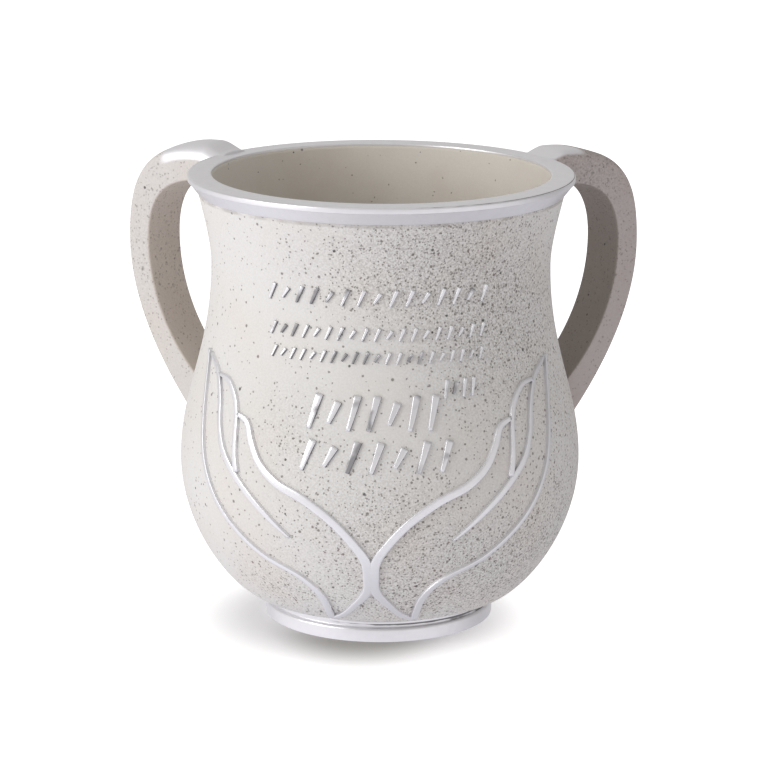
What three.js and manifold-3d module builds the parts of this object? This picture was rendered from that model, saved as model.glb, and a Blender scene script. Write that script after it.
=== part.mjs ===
// A two-handled cup for the washing of hands, cast in one piece of stone-filled resin.
// Millimetres, +Z up. The origin is the middle of the underside, on the axis of the bowl.
// The front, with the two raised hands, faces -Y. The handles stand behind the sides, at +X and -X.

import * as THREE from 'three';
import { mergeVertices } from 'three/addons/utils/BufferGeometryUtils.js';
import Module from 'manifold-3d';

const wasm = await Module();
wasm.setup();

// Heights, from the table up. Each one stands on the one before it, but the bowl rises from the
// foot too: the tuck is only how far above the foot its outline begins.
const footBandHeight = 3.8;
const footCoveHeight = 1.6;
const footBeadHeight = 1.0;
const bowlTuck = 0.8;
const bowlRise = 40.5;
const shoulderRise = 57.3;
const flareRise = 20.1;
const rimGrooveHeight = 0.6;
const rimBandHeight = 5.1;

// Radii of the outside.
const footRadius = 33.2;
const footCoveDepth = 0.9;
const footBeadProud = 0.1;
const bowlFootRadius = 35.5;
const bellyRadius = 57.85;
const neckRadius = 48.68;
const flareRadius = 52.25;
const rimRadius = 55.4;
const rimBandTaper = 2.8;
const edgeRounding = 0.5;

// Walls.
const wallThickness = 4.5;
const floorThickness = 9;
const rimWidth = 6.9;

// Handles: a flat band each, bent in a plane through the axis of the bowl. The set back is the
// angle in degrees behind the side, and the turn is how far the pair is turned from that towards
// the viewer's right. Reach, rise and drops are measured from the edge of the rim.
const handleSetBack = 33.4;
const handlesTurn = 0.8;
const handleWidth = 15.6;
const handleReach = 30.7;
const handleThickness = 7.5;
const handleRootDepth = 9.9;
const handleCrestRise = 1.7;
const handleCrestOut = 4.5;
const handleSideDrop = 27.6;
const handleLegDrop = 83.4;
const handleLegDepth = 12.8;
const handleRounding = 0.7;

// Raised work on the front.
const reliefLift = 0.9;
const reliefSink = 0.7;
const reliefDraft = 0.2;
const handsTurn = -2.3;
const handsFootGap = 3.4;
const handsRise = 72.5;
const thinnestHalf = 0.2;
const strokeLift = 0.7;

// Facets.
const turnSteps = 56;
const bowlSteps = 5;
const shoulderSteps = 6;
const flareSteps = 3;
const hollowSteps = 4;
const handleSteps = 9;
const ribbonStep = 5;

// Heights of the levels that the parts share.
const footTop = footBandHeight + footCoveHeight + footBeadHeight;
const bellyHeight = footTop + bowlRise;
const neckHeight = bellyHeight + shoulderRise;
const flareTop = neckHeight + flareRise;
const cupHeight = flareTop + rimGrooveHeight + rimBandHeight;

const point = (x, y) => new THREE.Vector2(x, y);
const degrees = THREE.MathUtils.degToRad;

// A curve from one point to another. Each end leaves along its direction, given as an angle from
// the level, and the pull says how far the curve follows it.
function bend(start, startAngle, startPull, end, endAngle, endPull) {
  const out = point(Math.cos(startAngle), Math.sin(startAngle)).multiplyScalar(startPull);
  const back = point(Math.cos(endAngle), Math.sin(endAngle)).multiplyScalar(endPull);
  return new THREE.CubicBezierCurve(start, start.clone().add(out), end.clone().sub(back), end);
}

// The outside of the body in three curves: bowl, shoulder and flare. Each pull is a share of the
// curve's own rise, and so is the fullness of the shape that it gives.
const upright = degrees(90);
const bowlFootSlope = degrees(0);
const flareSlope = degrees(78);
const mouthSlope = degrees(75);
const bowlPull = { foot: 0.162, belly: 0.531 };
const shoulderPull = { belly: 0.345, neck: 0.455 };
const flarePull = { neck: 0.32, top: 0.19 };
const mouthPull = 0.35;
const bowlCurve = bend(
  point(bowlFootRadius, footTop + bowlTuck), bowlFootSlope, bowlPull.foot * bowlRise,
  point(bellyRadius, bellyHeight), upright, bowlPull.belly * bowlRise,
);
const shoulderCurve = bend(
  point(bellyRadius, bellyHeight), upright, shoulderPull.belly * shoulderRise,
  point(neckRadius, neckHeight), upright, shoulderPull.neck * shoulderRise,
);
const flareCurve = bend(
  point(neckRadius, neckHeight), upright, flarePull.neck * flareRise,
  point(flareRadius, flareTop), flareSlope, flarePull.top * flareRise,
);
const bodyCurves = [bowlCurve, shoulderCurve, flareCurve];

// The outside as a fine chain of points, for looking up the radius at a height.
const fineSteps = 200;
const bodyChain = bodyCurves.flatMap((curve) => curve.getPoints(fineSteps));

function bodyRadius(height) {
  const last = bodyChain.length - 1;
  const found = bodyChain.findIndex((p) => p.y > height);
  const above = found < 0 ? last : Math.max(found, 1);
  const low = bodyChain[above - 1];
  const high = bodyChain[above];
  const share = high.y > low.y ? THREE.MathUtils.clamp((height - low.y) / (high.y - low.y), 0, 1) : 0;
  return THREE.MathUtils.lerp(low.x, high.x, share);
}

// The stepped foot: a broad band, a cove and a bead under the bowl.
function footProfile() {
  const coveRadius = footRadius - footCoveDepth;
  const beadRadius = footRadius + footBeadProud;
  const coveTop = footTop - footBeadHeight;
  return [
    point(footRadius - 2 * edgeRounding, 0),
    point(footRadius - edgeRounding / 2, edgeRounding),
    point(footRadius, footBandHeight),
    point(coveRadius, footBandHeight + edgeRounding),
    point(coveRadius, coveTop - edgeRounding / 2),
    point(beadRadius, coveTop),
    point(beadRadius, footTop),
  ];
}

// The rim: a groove, a band that widens upward, and a flat top ring.
function rimProfile() {
  const bandFoot = cupHeight - rimBandHeight;
  const bandFootRadius = rimRadius - rimBandTaper;
  const mouthRadius = rimRadius - rimWidth;
  return [
    point(bandFootRadius - edgeRounding, bandFoot - edgeRounding),
    point(bandFootRadius, bandFoot),
    point(rimRadius - 0.3 * rimBandTaper, cupHeight - 0.45 * rimBandHeight),
    point(rimRadius, cupHeight - 2 * edgeRounding),
    point(rimRadius - edgeRounding, cupHeight),
    point(mouthRadius + edgeRounding, cupHeight),
    point(mouthRadius, cupHeight - edgeRounding),
  ];
}

// A curve moved into the wall by the wall's thickness.
function inset(curve, steps) {
  const points = [];
  for (let i = 0; i <= steps; i += 1) {
    const along = curve.getTangent(i / steps);
    const outward = point(along.y, -along.x);
    points.push(curve.getPoint(i / steps).sub(outward.multiplyScalar(wallThickness)));
  }
  return points;
}

// The inside of the cup, from the mouth down to the flat floor.
function hollowProfile() {
  const mouth = point(rimRadius - rimWidth, cupHeight - edgeRounding);
  const innerNeck = point(neckRadius - wallThickness, neckHeight);
  const pull = mouthPull * flareRise;
  const innerFlare = bend(innerNeck, upright, pull, mouth, mouthSlope, pull);
  const bowl = inset(bowlCurve, hollowSteps);
  const shoulder = inset(shoulderCurve, hollowSteps).slice(1);
  const flare = innerFlare.getPoints(flareSteps).slice(1, -1);
  const wall = [...bowl, ...shoulder, ...flare];
  const clear = wall.filter((p) => p.y > floorThickness + 2 * edgeRounding);
  const corner = point(clear[0].x - wallThickness, floorThickness);
  return [point(0, floorThickness), corner, ...clear].reverse();
}

// A closed three.js geometry as a solid that can be joined and cut.
function toSolid(geometry) {
  const bare = geometry.clone();
  bare.deleteAttribute('normal');
  bare.deleteAttribute('uv');
  const merged = mergeVertices(bare, 1e-4);
  const index = merged.index.array;
  const corners = [];
  for (let i = 0; i < index.length; i += 3) {
    const [a, b, c] = [index[i], index[i + 1], index[i + 2]];
    if (a !== b && b !== c && c !== a) corners.push(a, b, c);
  }
  const vertProperties = new Float32Array(merged.attributes.position.array);
  const triVerts = new Uint32Array(corners);
  return new wasm.Manifold(new wasm.Mesh({ numProp: 3, vertProperties, triVerts }));
}

function toGeometry(solid) {
  const mesh = solid.getMesh();
  const geometry = new THREE.BufferGeometry();
  geometry.setAttribute('position', new THREE.BufferAttribute(mesh.vertProperties, 3));
  geometry.setIndex(new THREE.BufferAttribute(mesh.triVerts, 1));
  geometry.computeVertexNormals();
  return geometry;
}

// The turned body with its foot, rim and hollow.
function cupBody() {
  const bowl = bowlCurve.getPoints(bowlSteps);
  const shoulder = shoulderCurve.getPoints(shoulderSteps).slice(1);
  const flare = flareCurve.getPoints(flareSteps).slice(1);
  const outside = [point(0, 0), ...footProfile(), ...bowl, ...shoulder, ...flare, ...rimProfile()];
  const turned = new THREE.LatheGeometry([...outside, ...hollowProfile()], turnSteps);
  turned.rotateX(degrees(90));
  return toSolid(turned);
}

// The outer edge of a handle from above the rim round to its low end, then the inner edge back up.
// Every pull is a share of the reach or of the drop that the curve covers.
const outerPull = { crest: 0.675, top: 0.65, leg: 0.47, end: 0.515 };
const gapPull = { crest: 0.425, top: 0.455, leg: 0.395, end: 0.395 };
const outerEndAngle = degrees(-133);
const gapEndAngle = degrees(-142);

// The side view of a handle: x is the distance from the axis of the bowl, y the height.
// Both ends run on into the middle of the wall.
function handleOutline() {
  const wallMiddle = (height) => bodyRadius(height) - wallThickness / 2;
  const sideHeight = cupHeight - handleSideDrop;
  const endHeight = cupHeight - handleLegDrop;
  const gapEndHeight = endHeight + handleLegDepth;
  const legRise = sideHeight - gapEndHeight;
  const crestX = rimRadius + handleCrestOut;
  const crestY = cupHeight + handleCrestRise;
  const sideX = rimRadius + handleReach;

  const crest = point(crestX, crestY);
  const side = point(sideX, sideHeight);
  const end = point(bodyRadius(endHeight) + handleRounding, endHeight);
  const gapCrest = point(crestX, crestY - handleRootDepth);
  const gapSide = point(sideX - handleThickness, sideHeight);
  const gapEnd = point(bodyRadius(gapEndHeight), gapEndHeight);

  const topOf = (from, to, pull) => (
    bend(from, 0, pull.crest * handleReach, to, -upright, pull.top * handleSideDrop)
  );
  const legOf = (from, to, angle, pull) => (
    bend(from, -upright, pull.leg * legRise, to, angle, pull.end * legRise)
  );
  const top = topOf(crest, side, outerPull);
  const leg = legOf(side, end, outerEndAngle, outerPull);
  const gapTop = topOf(gapCrest, gapSide, gapPull);
  const gapLeg = legOf(gapSide, gapEnd, gapEndAngle, gapPull);

  const rimRoot = point(rimRadius - rimWidth / 2, cupHeight - edgeRounding);
  const rimEdge = point(rimRadius, cupHeight + edgeRounding / 2);
  const endRoot = point(wallMiddle(endHeight), endHeight - wallThickness);
  const gapEndRoot = point(wallMiddle(gapEndHeight), gapEndHeight - edgeRounding);
  const neckRoot = point(wallMiddle(gapCrest.y), gapCrest.y);
  return new THREE.Shape([
    rimRoot,
    rimEdge,
    ...top.getPoints(handleSteps),
    ...leg.getPoints(handleSteps).slice(1),
    endRoot,
    gapEndRoot,
    ...gapLeg.getPoints(handleSteps).reverse(),
    ...gapTop.getPoints(handleSteps).reverse().slice(1),
    neckRoot,
  ]);
}

// A handle stands at the angle in degrees from +X towards +Y.
function handle(angle) {
  const band = new THREE.ExtrudeGeometry(handleOutline(), {
    depth: handleWidth - 2 * handleRounding,
    bevelThickness: handleRounding,
    bevelSize: handleRounding,
    bevelOffset: -handleRounding,
    bevelSegments: 1,
  });
  band.translate(0, 0, handleRounding - handleWidth / 2);
  band.rotateX(upright);
  band.rotateZ(degrees(angle));
  return toSolid(band);
}

// A place on the outside of the body and the direction straight out of it there.
// The angle is in degrees from the front, positive towards +X.
function skin(angle, height) {
  const step = 0.5;
  const slope = (bodyRadius(height + step) - bodyRadius(height - step)) / (2 * step);
  const turn = degrees(angle);
  const radius = bodyRadius(height);
  const place = new THREE.Vector3(radius * Math.sin(turn), -radius * Math.cos(turn), height);
  const out = new THREE.Vector3(Math.sin(turn), -Math.cos(turn), -slope).normalize();
  return { place, out };
}

// A raised ribbon over the body along places given as {angle, height, half} where half is half
// of its width. It is a closed prism with four corners at each place, sunk a little into the wall.
function ribbon(places, lift) {
  const spots = places.map((p) => skin(p.angle, p.height));
  const corners = [];
  spots.forEach(({ place, out }, i) => {
    const before = spots[Math.max(i - 1, 0)].place;
    const after = spots[Math.min(i + 1, spots.length - 1)].place;
    const side = out.clone().cross(after.clone().sub(before)).normalize();
    const half = places[i].half;
    const layers = [
      [half + reliefDraft, -reliefSink],
      [half, lift],
      [-half, lift],
      [-half - reliefDraft, -reliefSink],
    ];
    for (const [across, up] of layers) {
      corners.push(place.clone().addScaledVector(side, across).addScaledVector(out, up));
    }
  });
  const sides = 4;
  const index = [0, 3, 2, 0, 2, 1];
  const last = sides * (spots.length - 1);
  index.push(last, last + 1, last + 2, last, last + 2, last + 3);
  for (let start = 0; start < last; start += sides) {
    for (let k = 0; k < sides; k += 1) {
      const a = start + k;
      const b = start + ((k + 1) % sides);
      index.push(a, b, b + sides, a, b + sides, a + sides);
    }
  }
  const geometry = new THREE.BufferGeometry().setFromPoints(corners);
  geometry.setIndex(index);
  return toSolid(geometry);
}

// The lines of one hand as it rests on the bowl. Each place is its angle away from the middle
// between the hands, its height as a share of the hand's own, and half the width of the line.
const handLines = [
  // The outer edge, from the tip of the first finger down to the wrist.
  [[66.9, 1.0, 0.4], [60.8, 0.775, 0.5], [55.6, 0.586, 0.6], [47.6, 0.425, 0.65], [35.0, 0.283, 0.65],
    [21.8, 0.195, 0.75], [16.6, 0.112, 0.95], [15.8, 0.0, 1.0]],
  // Between the first and second fingers, running out in the palm.
  [[64.6, 0.99, 0.4], [57.2, 0.93, 0.6], [53.2, 0.845, 0.7], [50.6, 0.745, 0.7], [47.4, 0.66, 0.9],
    [40.6, 0.565, 0.9], [30.2, 0.445, 0.7], [23.4, 0.37, 0.25]],
  // Around the tip of the second finger.
  [[56.2, 0.928, 0.5], [51.0, 0.92, 0.6], [46.4, 0.868, 0.7], [44.1, 0.805, 0.7], [43.2, 0.73, 0.7],
    [42.4, 0.655, 0.8], [41.2, 0.59, 0.9]],
  // Around the third finger and along the inner edge, past the other hand and back to the wrist.
  [[43.6, 0.807, 0.6], [39.4, 0.785, 0.8], [36.8, 0.72, 0.95], [33.2, 0.645, 1.0], [27.4, 0.582, 1.1],
    [18.6, 0.528, 1.1], [10.4, 0.448, 1.1], [4.4, 0.345, 1.1], [1.3, 0.235, 1.15], [2.2, 0.165, 1.1],
    [6.0, 0.082, 0.95], [10.6, 0.03, 0.8], [15.8, 0.0, 0.7]],
];

// A smooth line through chosen places, cut into steps of about the same length.
function smoothPlaces(line, mirror) {
  const handsFoot = footTop + handsFootGap;
  const curve = new THREE.CatmullRomCurve3(line.map(([angle, share, half]) => (
    new THREE.Vector3(angle, share * handsRise, half)
  )));
  const steps = Math.max(4, Math.round(curve.getLength() / ribbonStep));
  return curve.getSpacedPoints(steps).map((p) => ({
    angle: handsTurn + mirror * p.x,
    height: handsFoot + p.y,
    half: Math.max(p.z, thinnestHalf),
  }));
}

function hands() {
  const ribbons = [];
  for (const mirror of [-1, 1]) {
    for (const line of handLines) {
      const places = smoothPlaces(line, mirror);
      ribbons.push(ribbon(places, reliefLift));
    }
  }
  return ribbons;
}

// Rows of short slanted strokes above and between the hands, each row with its own drop below
// the rim, height of stroke, half width, first and last angle, and number of strokes. Shares: a
// stroke leans by strokeLean of its pitch to each side, is narrower at its foot by strokeTaper,
// and every third one is shorter by shortStroke.
const strokeLean = 0.22;
const strokeTaper = 0.5;
const shortStroke = 0.62;
const strokeCycle = 3;
const strokeRows = [
  { drop: 26.3, tall: 4.6, half: 0.5, from: -37.4, to: 35.4, count: 15 },
  { drop: 36.4, tall: 3.6, half: 0.4, from: -36.4, to: 34.4, count: 19 },
  { drop: 42.8, tall: 3.2, half: 0.35, from: -35.4, to: 33.4, count: 21 },
  { drop: 51.6, tall: 5.0, half: 0.5, from: 19.2, to: 28.8, count: 4 },
  { drop: 57.6, tall: 9.4, half: 0.9, from: -19.6, to: 16.6, count: 7 },
  { drop: 69.4, tall: 8.4, half: 0.9, from: -20.6, to: 18.8, count: 7 },
];

function strokes() {
  const ribbons = [];
  for (const row of strokeRows) {
    const middle = cupHeight - row.drop;
    const pitch = (row.to - row.from) / (row.count - 1);
    const lean = strokeLean * pitch;
    for (let i = 0; i < row.count; i += 1) {
      const angle = row.from + i * pitch;
      const share = i % strokeCycle === 1 ? shortStroke : 1;
      const reach = (share * row.tall) / 2;
      const places = [
        { angle: angle - lean, height: middle - reach, half: strokeTaper * row.half },
        { angle: angle + lean, height: middle + reach, half: row.half },
      ];
      ribbons.push(ribbon(places, strokeLift));
    }
  }
  return ribbons;
}

const rightHandle = handle(handleSetBack - handlesTurn);
const leftHandle = handle(180 - handleSetBack - handlesTurn);
const pieces = [cupBody(), rightHandle, leftHandle, ...hands(), ...strokes()];
const cast = pieces.reduce((whole, piece) => whole.add(piece));

const stone = new THREE.MeshStandardMaterial({ color: 0xd6d1cb, roughness: 0.75, metalness: 0 });
const cup = new THREE.Mesh(toGeometry(cast), stone);
cup.name = 'washing_cup';

const part = new THREE.Group();
part.add(cup);

export default part;
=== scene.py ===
# %% [markdown]
# # A two-handled washing cup in speckled cast stone
# The cup is one casting of stone-filled resin. It has a round belly, a neck that flares to a flat
# silver rim, a small stepped silver foot and two flat handles bent like ears. The front carries two
# raised silver hands that hold the bowl, and rows of short raised strokes above them.
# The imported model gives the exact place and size. Here each visible surface is worked out again on a
# fine grid, because a solid with few facets can't show soft edges, and each finish is painted with
# nodes.

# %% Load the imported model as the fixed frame
import math

import bpy
import numpy as np
from mathutils import Matrix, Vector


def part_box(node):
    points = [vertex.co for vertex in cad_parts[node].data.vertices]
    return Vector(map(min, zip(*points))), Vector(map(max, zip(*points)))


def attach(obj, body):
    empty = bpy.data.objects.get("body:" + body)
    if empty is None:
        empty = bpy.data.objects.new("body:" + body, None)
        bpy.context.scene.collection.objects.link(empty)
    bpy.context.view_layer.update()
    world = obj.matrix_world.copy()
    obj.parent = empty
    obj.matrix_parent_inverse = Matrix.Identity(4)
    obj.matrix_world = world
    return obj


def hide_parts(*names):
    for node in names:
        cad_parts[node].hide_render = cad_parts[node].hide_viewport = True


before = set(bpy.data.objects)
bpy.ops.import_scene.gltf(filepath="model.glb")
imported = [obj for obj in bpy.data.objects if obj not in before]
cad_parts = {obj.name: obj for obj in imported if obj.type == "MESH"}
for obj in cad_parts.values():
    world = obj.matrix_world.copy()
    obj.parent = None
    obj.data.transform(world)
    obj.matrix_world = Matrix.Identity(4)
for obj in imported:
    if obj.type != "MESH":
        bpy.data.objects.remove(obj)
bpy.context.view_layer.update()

MM = 0.001
frame_low, frame_high = (np.array(corner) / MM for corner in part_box("washing_cup"))
print("frame box in millimetres:", frame_low.round(2), frame_high.round(2))

# %% [markdown]
# ## The measures
# A maker speaks of millimetres, so every length below is in millimetres, and one function at the end
# turns them into Blender's metres. Heights stand on each other from the table up, and radii are taken
# from the axis of the bowl. The bowl begins a little above the foot, by its tuck. These are the same
# values that shaped the solid.

# %% Heights and radii of the outside
foot_band_height = 3.8
foot_cove_height = 1.6
foot_bead_height = 1.0
bowl_tuck = 0.8
bowl_rise = 40.5
shoulder_rise = 57.3
flare_rise = 20.1
rim_groove_height = 0.6
rim_band_height = 5.1

foot_top = foot_band_height + foot_cove_height + foot_bead_height
belly_height = foot_top + bowl_rise
neck_height = belly_height + shoulder_rise
flare_top = neck_height + flare_rise
cup_height = flare_top + rim_groove_height + rim_band_height

foot_radius = 33.2
foot_cove_depth = 0.9
foot_bead_proud = 0.1
bowl_foot_radius = 35.5
belly_radius = 57.85
neck_radius = 48.68
flare_radius = 52.25
rim_radius = 55.4
rim_band_taper = 2.8
rim_width = 6.9
mouth_radius = rim_radius - rim_width
wall = 4.5
floor_height = 9.0
edge = 0.5
print("cup height", cup_height, "mouth radius", mouth_radius)

# %% [markdown]
# ## Curves
# A potter's outline has no corners between the bowl, the shoulder and the flare. A cubic curve that
# leaves each end along a chosen direction says this in few numbers. The pull says how far the curve
# follows that direction, so it sets how full the shape is.


# %% A curve with a direction and a pull at each end
def bend(start, start_angle, start_pull, end, end_angle, end_pull, steps):
    """Cubic curve (1-t)^3 A + 3(1-t)^2 t B + 3(1-t) t^2 C + t^3 D, with t from 0 to 1.
    A and D are the ends, B = A + pull times the direction at A, C = D - pull times that at D."""
    a, d = np.array(start, float), np.array(end, float)
    out, back = math.radians(start_angle), math.radians(end_angle)
    b = a + start_pull * np.array([math.cos(out), math.sin(out)])
    c = d - end_pull * np.array([math.cos(back), math.sin(back)])
    t = np.linspace(0, 1, steps + 1)[:, None]
    s = 1 - t
    return s**3 * a + 3 * s**2 * t * b + 3 * s * t**2 * c + t**3 * d


def soften(corners, reaches, steps=6):
    """A chain of corners with each one rounded. The point at t between reach before the corner B
    and reach after it is (1-t)^2 P + 2(1-t) t B + t^2 Q, with P and Q on the two straight sides."""
    corners = np.array(corners, float)
    t = np.linspace(0, 1, steps + 1)[:, None]
    chain = []
    for i, reach in enumerate(reaches):
        here = corners[i]
        if reach == 0:
            chain.append(here[None])
            continue
        before = corners[i - 1] - here
        after = corners[(i + 1) % len(corners)] - here
        p = here + before * min(reach / np.linalg.norm(before), 0.49)
        q = here + after * min(reach / np.linalg.norm(after), 0.49)
        chain.append((1 - t) ** 2 * p + 2 * (1 - t) * t * here + t**2 * q)
    return np.vstack(chain)


# %% The outline of the body, from the foot to the flare
UPRIGHT = 90
bowl_line = bend(
    (bowl_foot_radius, foot_top + bowl_tuck), 0, 0.162 * bowl_rise,
    (belly_radius, belly_height), UPRIGHT, 0.531 * bowl_rise, 44,
)
shoulder_line = bend(
    (belly_radius, belly_height), UPRIGHT, 0.345 * shoulder_rise,
    (neck_radius, neck_height), UPRIGHT, 0.455 * shoulder_rise, 44,
)
flare_line = bend(
    (neck_radius, neck_height), UPRIGHT, 0.32 * flare_rise,
    (flare_radius, flare_top), 78, 0.19 * flare_rise, 16,
)
outline = np.vstack([bowl_line, shoulder_line[1:], flare_line[1:]])


def body_radius(height):
    """Radius of the outside at a height, read off the outline by straight lines between points."""
    return np.interp(height, outline[:, 1], outline[:, 0])


def inset(line, depth):
    """A line moved into the wall: each point goes by depth against its normal, and the normal is
    the tangent (dr, dz) turned by a right angle to (dz, -dr)."""
    along = np.gradient(line, axis=0)
    along /= np.linalg.norm(along, axis=1, keepdims=True)
    return line - depth * np.column_stack([along[:, 1], -along[:, 0]])


print("outline points", len(outline), "belly radius", outline[:, 0].max())

# %% [markdown]
# ## From a grid of points to a mesh
# Every piece of this cup is a grid: a profile turned about an axis, or a section carried along a
# path. One function makes the faces of such a grid and closes its ends, and one puts finished grids
# into a Blender mesh. It also looks at the volume, and turns all faces over if they point inwards.


# %% Faces over a grid
def shell(points, wrap=False, mark=None):
    """A closed skin over points[row, column]. Columns close on themselves. Rows close on themselves
    where wrap is true, and else a fan around the middle of the first and last row closes each end.
    The mark is one number for each point, which a finish can read."""
    rows, columns = points.shape[:2]
    mark = np.zeros((rows, columns)) if mark is None else mark
    number = np.arange(rows * columns).reshape(rows, columns)
    here = number if wrap else number[:-1]
    above = np.roll(number, -1, axis=0) if wrap else number[1:]
    quads = np.stack([here, np.roll(here, -1, 1), np.roll(above, -1, 1), above], -1).reshape(-1, 4)
    flat, marks = points.reshape(-1, 3), mark.reshape(-1)
    fans = np.empty((0, 3), int)
    if not wrap:
        flat = np.vstack([flat, points[0].mean(0), points[-1].mean(0)])
        marks = np.append(marks, [mark[0].mean(), mark[-1].mean()])
        first, last = number[0], number[-1]
        bottom, top = np.full(columns, rows * columns), np.full(columns, rows * columns + 1)
        fans = np.vstack([
            np.stack([np.roll(first, -1), first, bottom], -1),
            np.stack([last, np.roll(last, -1), top], -1),
        ])
    triangles = np.vstack([quads[:, [0, 1, 2]], quads[:, [0, 2, 3]], fans])
    a, b, c = (flat[triangles[:, k]] for k in range(3))
    volume = np.einsum("ij,ij->", a, np.cross(b, c)) / 6
    if volume < 0:
        quads, fans = quads[:, ::-1], fans[:, ::-1]
    return flat, quads, fans, marks, abs(volume)


def put_mesh(name, shells, finish, mark_name=None):
    """One Blender object at the origin from a list of shells, in metres and with smooth faces."""
    shift, quads, fans = 0, [], []
    for flat, four, three, _, _ in shells:
        quads.append(four + shift)
        fans.append(three + shift)
        shift += len(flat)
    points = np.vstack([s[0] for s in shells]) * MM
    faces = np.vstack(quads).tolist() + np.vstack(fans).tolist()
    mesh = bpy.data.meshes.new(name)
    mesh.from_pydata(points.tolist(), [], faces)
    mesh.polygons.foreach_set("use_smooth", np.ones(len(faces), bool))
    if mark_name:
        layer = mesh.attributes.new(mark_name, "FLOAT", "POINT")
        layer.data.foreach_set("value", np.concatenate([s[3] for s in shells]))
    mesh.materials.append(finish)
    mesh.update()
    piece = bpy.data.objects.new(name, mesh)
    bpy.context.scene.collection.objects.link(piece)
    volume = sum(s[4] for s in shells) / 1000
    print(name, len(faces), "faces,", round(volume, 2), "cubic centimetres")
    return piece


def turned(profile, steps=288):
    """A profile of (r, z) turned about the axis: x = r sin a, y = -r cos a, with a from 0 round."""
    a = np.linspace(0, 2 * np.pi, steps, endpoint=False)
    r, z = profile[:, :1], profile[:, 1:]
    return np.stack([r * np.sin(a), -r * np.cos(a), z + 0 * a], axis=-1)


# %% [markdown]
# ## Painting with nodes
# A finish is a chain of shader nodes. Written out node by node it would fill pages, so a thin class
# stands for one output socket and lets ordinary arithmetic add the Math nodes. Every other kind of
# node comes from one method, which takes its type, its settings and what goes into its sockets.


# %% A socket that can be added, subtracted and multiplied
class Wire:
    """One output of a node. Arithmetic on it adds Math nodes to the same finish."""

    def __init__(self, finish, socket):
        self.finish, self.socket = finish, socket

    def combine(self, operation, first, second):
        return self.finish.node("Math", {"operation": operation}, {0: first, 1: second})

    def __add__(self, other):
        return self.combine("ADD", self, other)

    def __sub__(self, other):
        return self.combine("SUBTRACT", self, other)

    def __rsub__(self, other):
        return self.combine("SUBTRACT", other, self)

    def __mul__(self, other):
        return self.combine("MULTIPLY", self, other)

    def __lt__(self, other):
        return self.combine("LESS_THAN", self, other)

    __radd__ = __add__
    __rmul__ = __mul__


# %% A finish and its nodes
class Finish:
    """A material with one main shader, and short names for the nodes that the finishes share."""

    def __init__(self, name):
        self.material = bpy.data.materials.new(name)
        self.open_tree(self.material, "Principled BSDF", "Object")

    def open_tree(self, owner, shader, place):
        """Turns the owner's nodes on, and keeps its main shader and the place that patterns use."""
        owner.use_nodes = True
        self.tree = owner.node_tree
        self.shader = self.tree.nodes[shader]
        self.place = self.node("TexCoord", out=place)

    def plug(self, socket, value):
        if isinstance(value, Wire):
            self.tree.links.new(value.socket, socket)
        else:
            socket.default_value = value

    def node(self, kind, settings=None, sockets=None, out=0):
        """Adds a node: its settings first, then its sockets, and gives back one output."""
        added = self.tree.nodes.new("ShaderNode" + kind)
        for key, value in (settings or {}).items():
            setattr(added, key, value)
        for key, value in (sockets or {}).items():
            self.plug(added.inputs[key], value)
        return Wire(self, added.outputs[out])

    def set(self, **sockets):
        """Sets or links sockets of the main shader, as Base_Color for Base Color."""
        for key, value in sockets.items():
            self.plug(self.shader.inputs[key.replace("_", " ")], value)

    def noise(self, grain, detail=2, place=None):
        """Soft cloudy noise from 0 to 1 whose blotches are about grain millimetres wide."""
        where = place or self.place
        sockets = {"Vector": where, "Scale": 1 / (grain * MM), "Detail": detail}
        return self.node("TexNoise", None, sockets)

    def smooth(self, value, low, high):
        """0 below low, 1 above high, and a soft step between. High may be the smaller one."""
        settings = {"interpolation_type": "SMOOTHSTEP"}
        return self.node("MapRange", settings, {0: value, 1: low, 2: high})

    def mix(self, share, first, second):
        """One colour turning into another as the share goes from 0 to 1."""
        colours = [c if isinstance(c, Wire) else (*c, 1) for c in (first, second)]
        sockets = {0: share, 6: colours[0], 7: colours[1]}
        return self.node("Mix", {"data_type": "RGBA"}, sockets, out=2)

    def blend(self, share, first, second):
        """One number turning into another as the share goes from 0 to 1."""
        return self.node("Mix", {"data_type": "FLOAT"}, {0: share, 2: first, 3: second})

    def wander(self, reach):
        """The place, pushed about by noise, which makes round dots crooked. Reach is in millimetres."""
        sockets = {"Vector": self.place, "Scale": 1 / (reach * MM)}
        push = self.node("TexNoise", None, sockets, out="Color")
        sockets = {0: push, 1: (reach * MM,) * 3, 2: self.place}
        return self.node("VectorMath", {"operation": "MULTIPLY_ADD"}, sockets)

    def specks(self, spacing, size, share, place=None):
        """Small round dots, 1 inside and 0 outside. Space is cut into cells spacing millimetres wide.
        Each cell has one dot up to size wide, and only a share of the cells keeps its dot."""
        sockets = {"Vector": place or self.place, "Scale": 1 / (spacing * MM)}
        cells = self.node("TexVoronoi", None, sockets, out="Distance")
        colour = Wire(self, cells.socket.node.outputs["Color"])
        chance = self.node("SeparateColor", None, {0: colour}, out=0)
        breadth = self.node("SeparateColor", None, {0: colour}, out=1)
        radius = (0.45 + 0.55 * breadth) * (size / spacing / 2)
        return self.smooth(cells, radius, radius * 0.45) * (chance < share)

    def bump(self, height, depth, strength=1.0):
        """A bump as deep as depth millimetres where the height goes from 0 to 1."""
        sockets = {"Strength": strength, "Distance": depth * MM, "Height": height}
        return self.node("Bump", None, sockets, out="Normal")


# %% [markdown]
# ## The stone finish
# The resin is cast with fine stone dust and then dabbed with thin dark paint. It is off-white and
# matt. Fine grit and specks crowd together where the sponge pressed, below the rim on one side and
# low on the bowl, and stay rare elsewhere. Dots come from cells of a Voronoi texture, which gives each
# dot its own size, and the crowding is a field of soft round dabs laid over the bowl.


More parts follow.
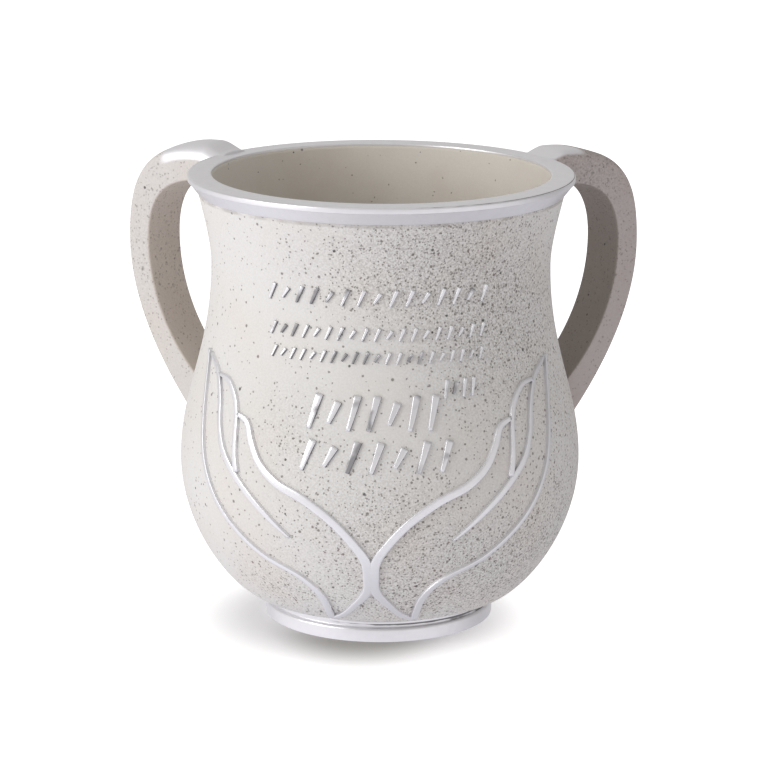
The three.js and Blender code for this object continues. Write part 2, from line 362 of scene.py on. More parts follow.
# %% Where the specks crowd together
def on_skin(angle, height):
    """Places on the outside of the body, and the direction straight out of it there. The angle is
    in degrees from the front, positive to the viewer's right. With slope s = dr/dz of the outline,
    the normal is (sin a, -cos a, -s) made one long."""
    turn = np.radians(angle)
    radius = body_radius(height)
    slope = (body_radius(height + edge) - body_radius(height - edge)) / (2 * edge)
    place = np.stack([radius * np.sin(turn), -radius * np.cos(turn), height + 0 * turn], -1)
    out = np.stack([np.sin(turn), -np.cos(turn), -slope + 0 * turn], -1)
    return place, out / np.linalg.norm(out, axis=-1, keepdims=True)


# Each dab: angle, height, how far it reaches in millimetres, and how crowded it is.
BODY_DABS = [
    (24, 112, 40, 0.9), (2, 114, 28, 0.7), (48, 106, 36, 0.7), (40, 80, 36, 0.6), (-26, 114, 20, 0.25),
    (16, 28, 42, 0.8), (-6, 42, 34, 0.5), (2, 12, 26, 0.6), (-34, 16, 26, 0.7), (48, 22, 36, 1.1),
    (-26, 66, 20, 0.4), (70, 88, 36, 0.6), (72, 42, 40, 0.7),
    (150, 96, 44, 0.6), (-140, 40, 46, 0.6), (100, 60, 36, 0.4),
]


def crowding(finish, dabs, least):
    """The sum of the dabs, each 1 at its middle and 0 at its reach, made uneven by slow noise."""
    field = finish.noise(30) * 0.16 + least
    for middle, reach, strength in dabs:
        sockets = {0: finish.place, 1: tuple(np.array(middle) * MM)}
        away = finish.node("VectorMath", {"operation": "DISTANCE"}, sockets, out="Value")
        field = field + finish.smooth(away, reach * MM, 0.0) * strength
    return field * (0.7 + 0.6 * finish.noise(8))


# %% The colours and dots of the stone
PALE, WARM = (0.70, 0.688, 0.665), (0.695, 0.665, 0.625)
INSIDE_PALE, INSIDE_WARM = (0.67, 0.63, 0.57), (0.64, 0.585, 0.515)
SPECK, SPOT = (0.17, 0.145, 0.13), (0.05, 0.043, 0.04)


def stone_colour(finish, pale, warm, crowd, depth=1.0):
    """The colour and the height of the stone: a cloudy ground, a fine sand that darkens and lightens
    it, grit, specks and a few spots. The depth says how strong the dots stand out."""
    ground = finish.mix(finish.smooth(finish.noise(24, 3), 0.4, 0.75), pale, warm)
    dust = finish.noise(0.55, 2)
    sand = finish.smooth(dust, 0.4, 0.6)
    grit = finish.specks(0.85, 0.85, crowd * 0.85, finish.wander(0.8))
    specks = finish.specks(1.7, 1.2, crowd * 0.4 + 0.03)
    spots = finish.specks(4.4, 1.3, 0.12 + crowd * 0.35)
    shade = finish.mix(0.35, ground, SPECK)
    colour = finish.mix(sand * (0.08 + crowd * 0.75) * depth, ground, shade)
    colour = finish.mix(grit * (0.75 * depth), colour, SPECK)
    colour = finish.mix(specks * (0.8 * depth), colour, SPECK)
    colour = finish.mix(spots * 0.85, colour, SPOT)
    height = dust * (0.25 + crowd * 0.5) - grit * 0.6 - specks * 0.8 - spots
    return colour, height


# The least roughness of the stone, what its patches add, its sheen, and the depth of its grain.
STONE_ROUGH, STONE_PATCHES, STONE_SHEEN, GRAIN_DEPTH = 0.62, 0.2, 0.35, 0.12


def matt(finish, colour, height):
    """Plugs the colour and the height into the shader of a matt stone."""
    finish.set(Base_Color=colour, Roughness=STONE_ROUGH + STONE_PATCHES * finish.noise(3), IOR=1.45)
    finish.set(Specular_IOR_Level=STONE_SHEEN, Normal=finish.bump(height, GRAIN_DEPTH))


# %% The stone of the body, warmer and barer on the inside
def body_finish(name):
    """A dark band fades downwards under the rim band; it is painted shade under the rim."""
    finish = Finish(name)
    inside = finish.node("Attribute", {"attribute_name": "inside"}, out="Fac")
    dabs = [(on_skin(np.float64(a), np.float64(h))[0], *rest) for a, h, *rest in BODY_DABS]
    crowd = crowding(finish, dabs, 0.03) * (1 - 0.9 * inside)
    pale, warm = finish.mix(inside, PALE, INSIDE_PALE), finish.mix(inside, WARM, INSIDE_WARM)
    colour, height = stone_colour(finish, pale, warm, crowd)
    level = finish.node("SeparateXYZ", None, {0: finish.place}, out="Z")
    under_rim = finish.smooth(level, (flare_top - 0.9) * MM, (flare_top - 0.2) * MM)
    # Painted shade: the stone is darkened in a ragged band just under the rim.
    rim_shade = under_rim * finish.smooth(finish.noise(7), 0.3, 0.6) * (1 - inside)
    matt(finish, finish.mix(rim_shade * 0.35, colour, SPECK), height)
    return finish


body_stone = body_finish("speckled_stone")
print(body_stone.material.name, len(body_stone.tree.nodes), "nodes")

# %% [markdown]
# ## The silver finish
# Rim, foot and raised lines are painted with satin silver. Silver paint is fine flakes in a clear
# binder, so it is part mirror and part matt, with a slight lavender cast. The grooves and the hollows
# under the bands are painted dark, most of all on the side of the cup away from the light, as painted
# shade, and the brush leaves faint streaks. A mark on each point of a mesh says how deep in such a
# groove it lies and how far it is turned from the light.

# %% The silver
# The dark colour paints shade in the grooves and dark reflections on the strokes.
SILVER, STREAK, SHADE_AND_REFLECTION_DARK = (0.80, 0.793, 0.81), (0.73, 0.725, 0.745), (0.09, 0.085, 0.085)
SILVER_ROUGH, SILVER_STREAKS, SILVER_METAL = 0.30, 0.14, 0.65
brush_grain = 2.2


def silver(name, dark_reflection=0.0):
    finish = Finish(name)
    streaks = finish.noise(brush_grain, 3)
    colour = finish.mix(finish.smooth(streaks, 0.35, 0.8) * 0.4, SILVER, STREAK)
    corner = finish.node("Attribute", {"attribute_name": "corner"}, out="Fac")
    dark = finish.smooth(corner + (finish.noise(5, 2) - 0.5) * 0.8, 0.5, 0.8)
    # Dark patches painted on the silver stand in for dark reflections on the strokes.
    if dark_reflection:
        dark_reflection_patches = finish.smooth(finish.noise(9, 2), 0.56, 0.66) * dark_reflection
        dark = finish.node("Math", {"operation": "MAXIMUM"}, {0: dark, 1: dark_reflection_patches})
    finish.set(Base_Color=finish.mix(dark * 0.9, colour, SHADE_AND_REFLECTION_DARK), Metallic=SILVER_METAL - 0.5 * dark)
    waves = finish.bump(finish.noise(1.1, 2), 0.02)
    finish.set(Roughness=SILVER_ROUGH + SILVER_STREAKS * streaks, Normal=waves)
    return finish


trim_silver = silver("silver_paint")
print(trim_silver.material.name, len(trim_silver.tree.nodes), "nodes")

# %% [markdown]
# ## The body
# The body is turned work, hollow, with a wall of even thickness and a flat floor. Outside and inside
# are one profile that starts on the axis below the floor, climbs the outside, crosses the top of the
# wall under the rim and comes down the inside to the axis again. Turning it closes the shell.

# %% The profile of the wall
hidden_lap = 1.4
middle_radius = 6
inner_flare = bend(
    (neck_radius - wall, neck_height), UPRIGHT, 0.35 * flare_rise,
    (mouth_radius, cup_height - edge), 75, 0.35 * flare_rise, 20,
)
inner_wall = np.vstack([inset(bowl_line, wall), inset(shoulder_line, wall)[1:], inner_flare[1:]])
inner_wall = inner_wall[inner_wall[:, 1] > floor_height + 2 * edge]
floor_corner = (inner_wall[0, 0] - wall, floor_height)
floor_turn = [inner_wall[4], floor_corner, (middle_radius, floor_height)]
inner_floor = soften(floor_turn, [0, 3.5, 0], 8)[1:]
inside = np.vstack([inner_wall[:4:-1], inner_floor])
underside = np.array([
    (middle_radius, foot_top - 0.3), (foot_radius - 0.3, foot_top - 0.3),
    (foot_radius, foot_top + 0.1),
])
lap = np.array([(flare_radius, flare_top + 0.8), (flare_radius - 0.6, cup_height - hidden_lap)])
wall_profile = np.vstack([underside, outline, lap, inside])
inside_rows = (np.arange(len(wall_profile)) >= len(wall_profile) - len(inside)).astype(float)
wall_points = turned(wall_profile)
wall_mark = inside_rows[:, None] * np.ones(wall_points.shape[1])
cup_body = put_mesh("cup_body", [shell(wall_points, mark=wall_mark)], body_stone.material, "inside")

# %% [markdown]
# ## The rim
# The rim is a flat ring with an upright lip, and under the lip a band that narrows downwards. A
# hairline step parts the two. Another hairline runs round the outer edge of the flat top. These
# hairlines and the hollow under the band are painted dark, most of all on the side away from the
# light, as painted shade. The rim is one small profile that closes on itself and is turned.


# %% A turned ring from a list of corners
# The grooves on the side of the cup at this angle, away from the light, are painted darkest, as painted
# shade.
shaded_side = 85


def ring(name, corners, wrap):
    """Each corner has its place, how far it is rounded, and how deep in a groove it lies. The mark
    is that depth times a share that is 1 on the side of the cup away from the light and least
    opposite it, so the dark it paints in the grooves is painted shade."""
    steps = 5
    profile = soften([c[0] for c in corners], [c[1] for c in corners], steps)
    depth = np.concatenate([np.full(steps + 1 if c[1] else 1, float(c[2])) for c in corners])
    points = turned(profile)
    a = np.linspace(0, 2 * np.pi, points.shape[1], endpoint=False)
    shade_share = 0.3 + 0.7 * (0.5 + 0.5 * np.cos(a - math.radians(shaded_side))) ** 2
    skin = shell(points, wrap, depth[:, None] * shade_share)
    return put_mesh(name, [skin], trim_silver.material, "corner")


# %% The ring of the rim
lip_height = 1.7
lip_step = 0.3
band_foot = cup_height - rim_band_height
band_foot_radius = rim_radius - rim_band_taper
# The last number of each entry is how deep in a groove it lies, and sets how much painted shade it
# gets.
rim = ring("silver_rim", [
    ((mouth_radius + 1.5, band_foot + 1), 0, 0),
    ((mouth_radius + 0.5, cup_height - 2.2), 0, 0),
    ((mouth_radius - 0.04, cup_height - 1.0), 0.3, 0),
    ((mouth_radius - 0.04, cup_height), 0.5, 0),
    ((rim_radius - 0.6, cup_height), 0.1, 0),
    ((rim_radius - 0.3, cup_height - 0.15), 0.05, 1),
    ((rim_radius, cup_height - 0.4), 0.2, 0),
    ((rim_radius, cup_height - lip_height), 0.2, 0),
    ((rim_radius - lip_step, cup_height - lip_height - 0.15), 0.08, 0.4),
    ((band_foot_radius, band_foot), 0.2, 0),
    ((band_foot_radius - 0.5, band_foot - 0.4), 0.1, 0.9),
    ((flare_radius - 1.2, band_foot - 0.6), 0, 1),
], wrap=True)

# %% [markdown]
# ## The foot
# The foot is stepped: a broad band that stands on the table, a cove and a thin bead under the bowl.
# It is a closed disc, so that the underside is there too when the cup is turned over.

# %% The stepped foot
foot_middle = 8
cove_radius = foot_radius - foot_cove_depth
bead_radius = foot_radius + foot_bead_proud
bead_foot = foot_top - foot_bead_height
# The cove under the bead is marked deepest, so it is painted dark as painted shade.
foot = ring("silver_foot", [
    ((foot_middle, 0), 0, 0),
    ((foot_radius - 0.1, 0), 0.25, 0),
    ((foot_radius, foot_band_height), 0.6, 0),
    ((cove_radius, foot_band_height + 0.45), 0.3, 0.7),
    ((cove_radius, bead_foot - 0.1), 0.25, 1.5),
    ((bead_radius, bead_foot + 0.1), 0.25, 0),
    ((bead_radius, foot_top - 0.15), 0.25, 0),
    ((bead_radius - 0.5, foot_top), 0, 0.6),
    ((foot_middle, foot_top), 0, 0),
], wrap=False)

# %% [markdown]
# ## The handles
# Each handle is a flat band bent in a plane through the axis, a little more than a third of a right
# angle behind the side. It springs level from the rim, turns down in a wide arc and comes back
# slanting into the bowl. Its outer and inner edges are two lines of curves. At each step a rounded
# rectangle is set between them, so the band is as deep as the two lines are apart, and as wide as
# the handle.

# %% The outer and the inner edge of a handle
handle_set_back = 33.4
handles_turn = 0.8
handle_width = 15.6
handle_reach = 30.7
handle_thickness = 7.5
handle_root_depth = 9.9
handle_crest_rise = 1.7
handle_crest_out = 4.5
handle_side_drop = 27.6
handle_leg_drop = 83.4
handle_leg_depth = 12.8
handle_rounding = 0.7
crest_rounding = 3.2
crest_crown = {1: 0.3, -1: 1.3}

side_height = cup_height - handle_side_drop
end_height = cup_height - handle_leg_drop
gap_end_height = end_height + handle_leg_depth
leg_rise = side_height - gap_end_height
crest = np.array([rim_radius + handle_crest_out, cup_height + handle_crest_rise])
side = np.array([rim_radius + handle_reach, side_height])
gap_crest = crest - [0, handle_root_depth]
gap_side = side - [handle_thickness, 0]


def handle_edge(root, root_pull, top_from, top_to, end, end_angle, pulls, sunk):
    """Four curves end to end: from the root level to the crest, over the top to the side, down the
    leg to the bowl, and a short straight run into the wall."""
    start = bend(root, 0, root_pull, top_from, 0, root_pull, 10)
    over, down = pulls[0] * handle_reach, pulls[1] * handle_side_drop
    top = bend(top_from, 0, over, top_to, -UPRIGHT, down, 34)
    leg = bend(top_to, -UPRIGHT, pulls[2] * leg_rise, end, end_angle, pulls[3] * leg_rise, 40)
    into = np.linspace(end, sunk, 4)[1:]
    return np.vstack([start, top[1:], leg[1:], into])


def in_wall(height, drop=0.0):
    return (float(body_radius(height)) - wall / 2, height - drop)


outer_edge = handle_edge(
    (rim_radius - rim_width / 2, cup_height - 0.6), 2.4, crest, side,
    (float(body_radius(end_height)) + handle_rounding, end_height), -133, (0.675, 0.65, 0.47, 0.515),
    in_wall(end_height, wall),
)
inner_edge = handle_edge(
    in_wall(float(gap_crest[1])), 2.0, gap_crest, gap_side,
    (float(body_radius(gap_end_height)), gap_end_height), -142, (0.425, 0.455, 0.395, 0.395),
    in_wall(gap_end_height, edge),
)
print("handle path points", len(outer_edge), "thickness at the side",
      round(float(np.linalg.norm(outer_edge[44] - inner_edge[44])), 2))


# %% The section, and the section carried along the edges
def rounded_section(corner_steps=6, flat_steps=9):
    """Signs and turns of a rounded rectangle: each point lies at sign times (half - rounding) plus
    rounding times the direction of its turn. Flats are cut so that a mark can change along them."""
    signs, turns = [], []
    for quarter in range(4):
        sign = [(1, 1), (-1, 1), (-1, -1), (1, -1)][quarter]
        turn = np.linspace(quarter * 90, quarter * 90 + 90, corner_steps + 1)
        signs += [sign] * len(turn)
        turns += turn.tolist()
        after = [(1, 1), (-1, 1), (-1, -1), (1, -1)][(quarter + 1) % 4]
        for k in range(1, flat_steps):
            share = k / flat_steps
            signs.append(tuple(s + (a - s) * share for s, a in zip(sign, after)))
            turns.append(quarter * 90 + 90)
    return np.array(signs, float), np.radians(turns)


def ramp(value, low, high):
    """0 at low, 1 at high, straight between them and level beyond them."""
    return np.clip((value - low) / (high - low), 0, 1)


# How far the silver reaches from the rim along the top, and how far it laps over the sides.
silver_reach = {1: 13.0, -1: 20.0}
silver_lap = {1: 0.5, -1: 3.0}


def handle_shell(towards):
    """Point at row t and section turn q: middle + depth (su (h - r) + r cos q) along the band's
    depth + (sv (w - r) + r sin q) across it. h is half the way from the inner to the outer edge.
    Near the crest the rounding r of the two outer corners grows, and the top is crowned by
    c (1 - v^2), with v from -1 to 1 across it. The mark is 1 on silver and -1 on the inner side."""
    signs, turns = rounded_section()
    angle = math.radians((handle_set_back if towards > 0 else 180 - handle_set_back) - handles_turn)
    out = np.array([math.cos(angle), math.sin(angle), 0])
    across = np.array([-math.sin(angle), math.cos(angle), 0])
    middle = (outer_edge + inner_edge) / 2
    reach = outer_edge - inner_edge
    half = np.linalg.norm(reach, axis=1, keepdims=True) / 2
    reach = reach / (2 * half)
    at_crest = ramp(outer_edge[:, :1], side[0] - 2, crest[0] + 4) * (outer_edge[:, 1:] > side_height)
    outer = signs[:, 0] > 0
    rounding = handle_rounding + (crest_rounding - handle_rounding) * at_crest * outer
    deep = signs[:, 0] * (half - rounding) + rounding * np.cos(turns)
    wide = signs[:, 1] * (handle_width / 2 - rounding) + rounding * np.sin(turns)
    crown = crest_crown[towards] * at_crest * (1 - (2 * wide / handle_width) ** 2)
    deep = deep + crown * ramp(deep, 0, half)
    rho = middle[:, :1] + deep * reach[:, :1]
    height = middle[:, 1:] + deep * reach[:, 1:]
    points = rho[..., None] * out + height[..., None] * [0, 0, 1] + wide[..., None] * across
    on_top = ramp(deep, half - silver_lap[towards] - 1, half - silver_lap[towards])
    near_rim = ramp(rho, rim_radius + silver_reach[towards], rim_radius + silver_reach[towards] - 4)
    inner_side = ramp(-np.cos(turns), 0.2, 0.7) * (1 - outer)
    return shell(points, mark=on_top * near_rim * (height > side_height) - inner_side)


# The silver on the handles is thinner than on the rim, so it shines less.
HANDLE_SILVER_ROUGH, HANDLE_SILVER_METAL = 0.42, 0.55


def handle_finish(name, outer_colours, inner_shaded_colours, dabs):
    """Stone that turns into silver paint where the mark is high, with a soft painted edge, and into
    a warmer, browner and darker stone where it is low, on the inner side of the band; that darkening is
    painted shade between the band and the bowl."""
    finish = Finish(name)
    mark = finish.node("Attribute", {"attribute_name": "silver_top"}, out="Fac")
    inner = finish.smooth(mark, -0.2, -0.9)
    pale, warm = (finish.mix(inner, o, i) for o, i in zip(outer_colours, inner_shaded_colours))
    colour, height = stone_colour(finish, pale, warm, crowding(finish, dabs, 0.28), depth=0.6)
    painted = finish.smooth(mark + (finish.noise(4) - 0.5) * 0.3, 0.1, 0.9)
    streaks = finish.noise(brush_grain, 3)
    finish.set(Base_Color=finish.mix(painted, colour, SILVER), Metallic=painted * HANDLE_SILVER_METAL)
    stone_rough = STONE_ROUGH + STONE_PATCHES * streaks
    silver_rough = HANDLE_SILVER_ROUGH + SILVER_STREAKS * streaks
    finish.set(Roughness=finish.blend(painted, stone_rough, silver_rough))
    grain = finish.bump(height * (1 - painted), GRAIN_DEPTH)
    finish.set(Specular_IOR_Level=STONE_SHEEN, Normal=grain)
    return finish


# The right handle's stone is painted darker than the left one's, as the shade the bowl throws on it,
# and its specks crowd most where it springs from the rim.
handles = [
    put_mesh("handle_right", [handle_shell(1)], handle_finish(
        "handle_stone_right_shaded", [(0.46, 0.415, 0.395), (0.44, 0.385, 0.362)],
        [(0.32, 0.28, 0.25), (0.29, 0.25, 0.215)], [((56, 30, 126), 26, 1.4), ((72, 40, 108), 30, 0.3)],
    ).material, "silver_top"),
    put_mesh("handle_left", [handle_shell(-1)], handle_finish(
        "handle_stone_left", [(0.63, 0.60, 0.572), (0.62, 0.58, 0.542)],
        [(0.63, 0.565, 0.505), (0.60, 0.525, 0.465)], [((-66, 40, 100), 30, 0.3)],
    ).material, "silver_top"),
]

# %% [markdown]
# ## The raised hands
# Two hands hold the bowl from below, drawn only in outline with raised lines. Each line is a ribbon
# that follows the round of the bowl: a low section with soft shoulders, carried along a smooth curve
# through a few chosen places. A place is an angle away from the middle between the hands, a share of
# the hand's height, and half the width of the line there. The second hand is the mirror of the first.

# %% The places of the lines
relief_lift = 0.9
relief_sink = 0.7
hands_turn = -2.3
hands_foot = foot_top + 3.4
hands_rise = 72.5
thinnest_half = 0.2

HAND_LINES = [
    # The outer edge, from the tip of the first finger down to the wrist.
    [(66.9, 1.0, 0.4), (60.8, 0.775, 0.5), (55.6, 0.586, 0.6), (47.6, 0.425, 0.65), (35.0, 0.283, 0.65),
     (21.8, 0.195, 0.75), (16.6, 0.112, 0.95), (15.8, 0.0, 1.0)],
    # Between the first and second fingers, running out in the palm.
    [(64.6, 0.99, 0.4), (57.2, 0.93, 0.6), (53.2, 0.845, 0.7), (50.6, 0.745, 0.7), (47.4, 0.66, 0.9),
     (40.6, 0.565, 0.9), (30.2, 0.445, 0.7), (23.4, 0.37, 0.25)],
    # Around the tip of the second finger.
    [(56.2, 0.928, 0.5), (51.0, 0.92, 0.6), (46.4, 0.868, 0.7), (44.1, 0.805, 0.7), (43.2, 0.73, 0.7),
     (42.4, 0.655, 0.8), (41.2, 0.59, 0.9)],
    # Around the third finger and along the inner edge, past the other hand and back to the wrist.
    [(43.6, 0.807, 0.6), (39.4, 0.785, 0.8), (36.8, 0.72, 0.95), (33.2, 0.645, 1.0), (27.4, 0.582, 1.1),
     (18.6, 0.528, 1.1), (10.4, 0.448, 1.1), (3.9, 0.345, 1.15), (1.4, 0.285, 1.35), (0.8, 0.225, 1.48),
     (1.3, 0.155, 1.3), (5.9, 0.082, 0.9), (10.6, 0.03, 0.8), (15.8, 0.0, 0.7)],
]


# %% A smooth line through chosen places
def smooth_line(places, step):
    """A Catmull-Rom curve whose speed follows the square root of each span's length.
    A span from B to C, with A before and D after, starts with the slope
    (B-A)/a - (C-A)/(a+b) + (C-B)/b and ends with (C-B)/b - (D-B)/(b+c) + (D-C)/c, where a, b and c
    are the square roots of the spans. The result is cut into steps of even length."""
    p = np.array(places, float)
    p = np.vstack([2 * p[0] - p[1], p, 2 * p[-1] - p[-2]])
    root = np.linalg.norm(np.diff(p, axis=0), axis=1, keepdims=True) ** 0.5
    before, here, after, last = p[:-3], p[1:-2], p[2:-1], p[3:]
    a, b, c = root[:-2], root[1:-1], root[2:]
    start = ((here - before) / a - (after - before) / (a + b) + (after - here) / b) * b
    finish = ((after - here) / b - (last - here) / (b + c) + (last - after) / c) * b
    t = np.linspace(0, 1, 24, endpoint=False)[:, None, None]
    cubic = (
        (2 * t**3 - 3 * t**2 + 1) * here + (t**3 - 2 * t**2 + t) * start
        + (3 * t**2 - 2 * t**3) * after + (t**3 - t**2) * finish
    )
    fine = np.vstack([cubic.transpose(1, 0, 2).reshape(-1, p.shape[1]), p[-2]])
    length = np.append(0, np.cumsum(np.linalg.norm(np.diff(fine, axis=0), axis=1)))
    even = np.linspace(0, length[-1], max(4, round(length[-1] / step)) + 1)
    return np.column_stack([np.interp(even, length, fine[:, k]) for k in range(p.shape[1])])


# %% A ribbon laid on the bowl
# Half of a ribbon's section, from its sunk foot to the middle of its top: how far across as a share
# of the half width, how much further out in millimetres, height as a share of the lift, and mark.
SECTION = [
    (1.0, 0.24, None, 1.0), (1.0, 0.14, 0.0, 1.0), (1.0, 0.07, 0.4, 1.0), (1.0, 0.03, 0.75, 0.7),
    (0.97, 0.0, 0.93, 0.1), (0.86, 0.0, 1.0, 0.0), (0.4, 0.0, 1.02, 0.0),
]
# Ribbon sides that face this way, to the right and down, away from the light, are painted darker as
# painted shade.
shaded_way = np.array([0.35, 0.0, -0.94])


def ribbon(angle, height, half, lift, sink=relief_sink):
    """Point at row t and section place k: skin + across_k times the side direction + up_k times the
    normal, where the side direction is normal x tangent. The mark is greatest on the side of the
    ribbon that faces away from the light, where it paints shade at the ribbon's foot."""
    place, out = on_skin(angle, height)
    along = np.gradient(place, axis=0)
    aside = np.cross(out, along)
    aside /= np.linalg.norm(aside, axis=1, keepdims=True)
    share, extra, up, mark = (np.array([-sink / lift if v is None else v for v in column])
                              for column in zip(*SECTION))
    share, extra = np.append(share, -share[::-1]), np.append(extra, -extra[::-1])
    up, mark = np.append(up, up[::-1]), np.append(mark, mark[::-1])
    across = share * half[:, None] + extra
    points = (place[:, None] + across[..., None] * aside[:, None]
              + (up * lift)[None, :, None] * out[:, None])
    facing = (aside @ shaded_way)[:, None] * np.sign(share)
    return shell(points, mark=mark * np.clip(0.4 + 0.8 * facing, 0, 1))


def hand_ribbons(mirror):
    ribbons = []
    for line in HAND_LINES:
        places = np.array(line) * [1, hands_rise, 1]
        angle, height, half = smooth_line(places, 0.8).T
        half = np.maximum(half, thinnest_half)
        ribbons.append(ribbon(hands_turn + mirror * angle, hands_foot + height, half, relief_lift))
    return ribbons


raised_hands = put_mesh("raised_hands", hand_ribbons(-1) + hand_ribbons(1),
                        silver("hand_silver").material, "corner")

# %% [markdown]
# ## The rows of strokes
# The real cup carries raised writing there. This one has plain slanting strokes in the same rows,
# with the same height and the same silver, and they say nothing.

# %% The strokes
stroke_lift = 0.7
stroke_lean = 0.22
short_stroke = 0.62
STROKE_ROWS = [
    # Drop below the rim, height, half width, first and last angle, number of strokes.
    (26.3, 4.6, 0.5, -37.4, 35.4, 15), (36.4, 3.6, 0.4, -36.4, 34.4, 19),
    (42.8, 3.2, 0.35, -35.4, 33.4, 21), (51.6, 5.0, 0.5, 20.4, 29.4, 4),
    (57.6, 9.4, 1.0, -19.6, 15.8, 7), (69.4, 8.4, 1.0, -20.6, 18.8, 7),
]


def stroke_ribbons():
    ribbons = []
    share = np.linspace(-1, 1, 13)
    for drop, tall, half, first, last, count in STROKE_ROWS:
        lean = stroke_lean * (last - first) / (count - 1)
        for i, angle in enumerate(np.linspace(first, last, count)):
            reach = tall / 2 * (short_stroke if i % 3 == 1 else 1)
            width = half * (0.75 + 0.25 * share)
            height = cup_height - drop + reach * share
            ribbons.append(ribbon(angle + lean * share, height, width, stroke_lift))
    return ribbons


# The strokes' silver carries dark patches as painted reflections.
stroke_rows = put_mesh("stroke_rows", stroke_ribbons(),
                       silver("stroke_silver", dark_reflection=0.8).material, "corner")

# %% [markdown]
# ## Joining the pieces to the frame
# The cup has no moving parts, so every piece rides on its one body. The stone body stands in for the
# imported solid. Each piece is listed with one of the two material slots of the record.

# %% Rides, and the slot listed for each piece
PIECES = [
    (cup_body, "speckled_stone"), (rim, "silver_paint"), (foot, "silver_paint"),
    (handles[0], "speckled_stone"), (handles[1], "speckled_stone"),
    (raised_hands, "silver_paint"), (stroke_rows, "silver_paint"),
]
for piece, slot in PIECES:
    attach(piece, "root")
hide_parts("washing_cup")
print(len(PIECES), "pieces ride on the cup")

# %% [markdown]
# ## The stage
# The cup stands on a plain white floor under soft light. A broad light from the left makes that side
# of the bowl bright and leaves the right handle in the shade of the bowl. The floor glows white, as a
# light table does. Close to the foot it glows less and its colour is darker in front of it, which
# paints the cup's shadow on the floor.

# %% The camera
camera_x, camera_up = 1.1085, 67.68
camera_distance = 947.72
camera_elevation = math.radians(13.879)
camera_roll = math.radians(0.3565)
camera_data = bpy.data.cameras.new("camera")
camera_data.lens = 153.3
camera_data.sensor_width = 36
camera = bpy.data.objects.new("camera", camera_data)
bpy.context.scene.collection.objects.link(camera)
bpy.context.scene.camera = camera
sin_e, cos_e = math.sin(camera_elevation), math.cos(camera_elevation)
facing = Matrix(((1, 0, 0), (0, sin_e, -cos_e), (0, cos_e, sin_e)))
spot = (camera_x * MM, -camera_distance * cos_e * MM, (camera_up + camera_distance * sin_e) * MM)
turn = facing @ Matrix.Rotation(camera_roll, 3, "Z")
camera.matrix_world = Matrix.Translation(spot) @ turn.to_4x4()
print("camera", round(camera_distance), "mm away, lens of", round(camera_data.lens, 1), "mm")

# %% The floor
floor_half = 6.0
corners = [(-floor_half, -floor_half, 0), (floor_half, -floor_half, 0),
           (floor_half, floor_half, 0), (-floor_half, floor_half, 0)]
floor_mesh = bpy.data.meshes.new("floor")
floor_mesh.from_pydata(corners, [], [(0, 1, 2, 3)])
paper = Finish("white_paper")
FOOT_SHADOW, DULL, BRIGHT = (0.42, 0.41, 0.385), (0.86, 0.86, 0.86), (0.88, 0.88, 0.88)
NO_GLOW, FULL_GLOW = (0.0, 0.0, 0.0), (0.8, 0.8, 0.8)


def from_middle(place):
    """Metres from a place on the paper to the middle of the shade."""
    middle = (-0.009, -0.009, 0.0)
    return paper.node("VectorMath", {"operation": "DISTANCE"}, {0: place, 1: middle}, out="Value")


# The painted shadow on the paper is an oval under the foot, and the glow grows in a circle around it,
# so it is dimmer near the foot as painted shadow too.
narrowed = paper.node("VectorMath", {"operation": "MULTIPLY"}, {0: paper.place, 1: (1.9, 1.0, 1.0)})
shade_from, shade_to = 0.024, 0.058
glow_from, glow_to = 0.022, 0.064
glow_share = paper.smooth(from_middle(paper.place), glow_from, glow_to)
unshaded_share = paper.smooth(from_middle(narrowed), shade_from, shade_to)
clean = paper.mix(paper.noise(60), DULL, BRIGHT)
# The darker colour and the weaker glow near the foot are both painted shadow.
paper.set(Base_Color=paper.mix(unshaded_share, FOOT_SHADOW, clean), Roughness=0.9, Specular_IOR_Level=0.0)
paper.set(Emission_Color=paper.mix(glow_share, NO_GLOW, FULL_GLOW), Emission_Strength=1.0)
floor_mesh.materials.append(paper.material)
floor = bpy.data.objects.new("floor", floor_mesh)
bpy.context.scene.collection.objects.link(floor)
floor.visible_diffuse = floor.visible_glossy = False
print("floor of", 2 * floor_half, "metres,", len(paper.tree.nodes), "nodes")


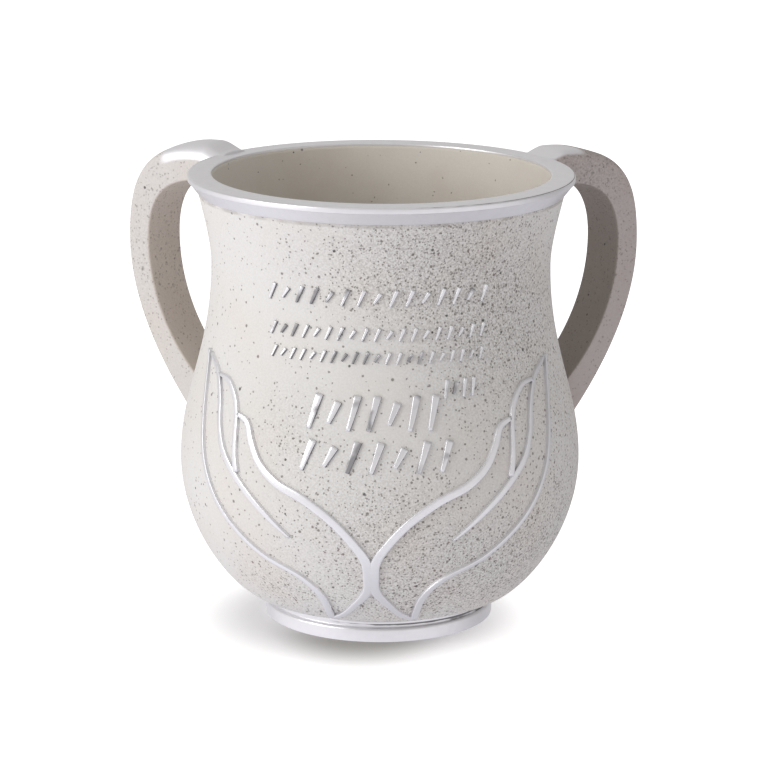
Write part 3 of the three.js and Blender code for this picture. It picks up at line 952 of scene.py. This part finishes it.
# %% The lights
def soft_light(name, azimuth, elevation, distance, width, power):
    """A square light on a sphere around the cup's middle, turned to face it. Azimuth is in degrees
    from the front, positive to the viewer's right."""
    a, e = math.radians(azimuth), math.radians(elevation)
    back = np.array([math.sin(a) * math.cos(e), -math.cos(a) * math.cos(e), math.sin(e)])
    data = bpy.data.lights.new(name, "AREA")
    data.size, data.energy = width, power
    light = bpy.data.objects.new(name, data)
    bpy.context.scene.collection.objects.link(light)
    light.location = back * distance + [0, 0, camera_up * MM]
    light.rotation_euler = (math.pi / 2 - e, 0, a)
    print(name, "of", power, "watts at azimuth", azimuth)


soft_light("key_light", -61, 19, 1.2, 0.7, 7.7)


# %% The room around, with soft glows where its walls are bright
class Room(Finish):
    """The light that comes from far around, as a colour for each direction."""

    def __init__(self, name):
        world = bpy.data.worlds.new(name)
        bpy.context.scene.world = world
        self.open_tree(world, "Background", "Generated")

    def glow(self, azimuth, elevation, reach, strength):
        """Strength times a soft step of the angle from the glow's middle, 0 past its reach."""
        a, e = math.radians(azimuth), math.radians(elevation)
        middle = (math.sin(a) * math.cos(e), -math.cos(a) * math.cos(e), math.sin(e))
        sockets = {0: self.place, 1: middle}
        along = self.node("VectorMath", {"operation": "DOT_PRODUCT"}, sockets, out="Value")
        return self.smooth(along, math.cos(math.radians(reach)), 1.0) * strength


room = Room("studio")
GLOWS = [
    # Azimuth, elevation and reach in degrees, and strength.
    (64, -4, 48, 0.48), (180, 14, 60, 0.3), (0, -20, 60, 0.42), (-85, -25, 60, 0.5), (0, 80, 50, 0.36),
]
above = room.node("SeparateXYZ", None, {0: room.place}, out="Z")
lower_half = room.smooth(above, 0.1, -0.6)
room_light, room_lift = 0.36, 0.3
FROM_ABOVE, FROM_BELOW = (1.0, 0.985, 0.975), (0.975, 0.96, 1.03)
brightness = sum((room.glow(*glow) for glow in GLOWS), start=room_light + room_lift * lower_half)
room.set(Color=room.mix(lower_half, FROM_ABOVE, FROM_BELOW), Strength=brightness)
print(len(GLOWS), "glows around the room")
bpy.context.scene.view_settings.view_transform = "Standard"
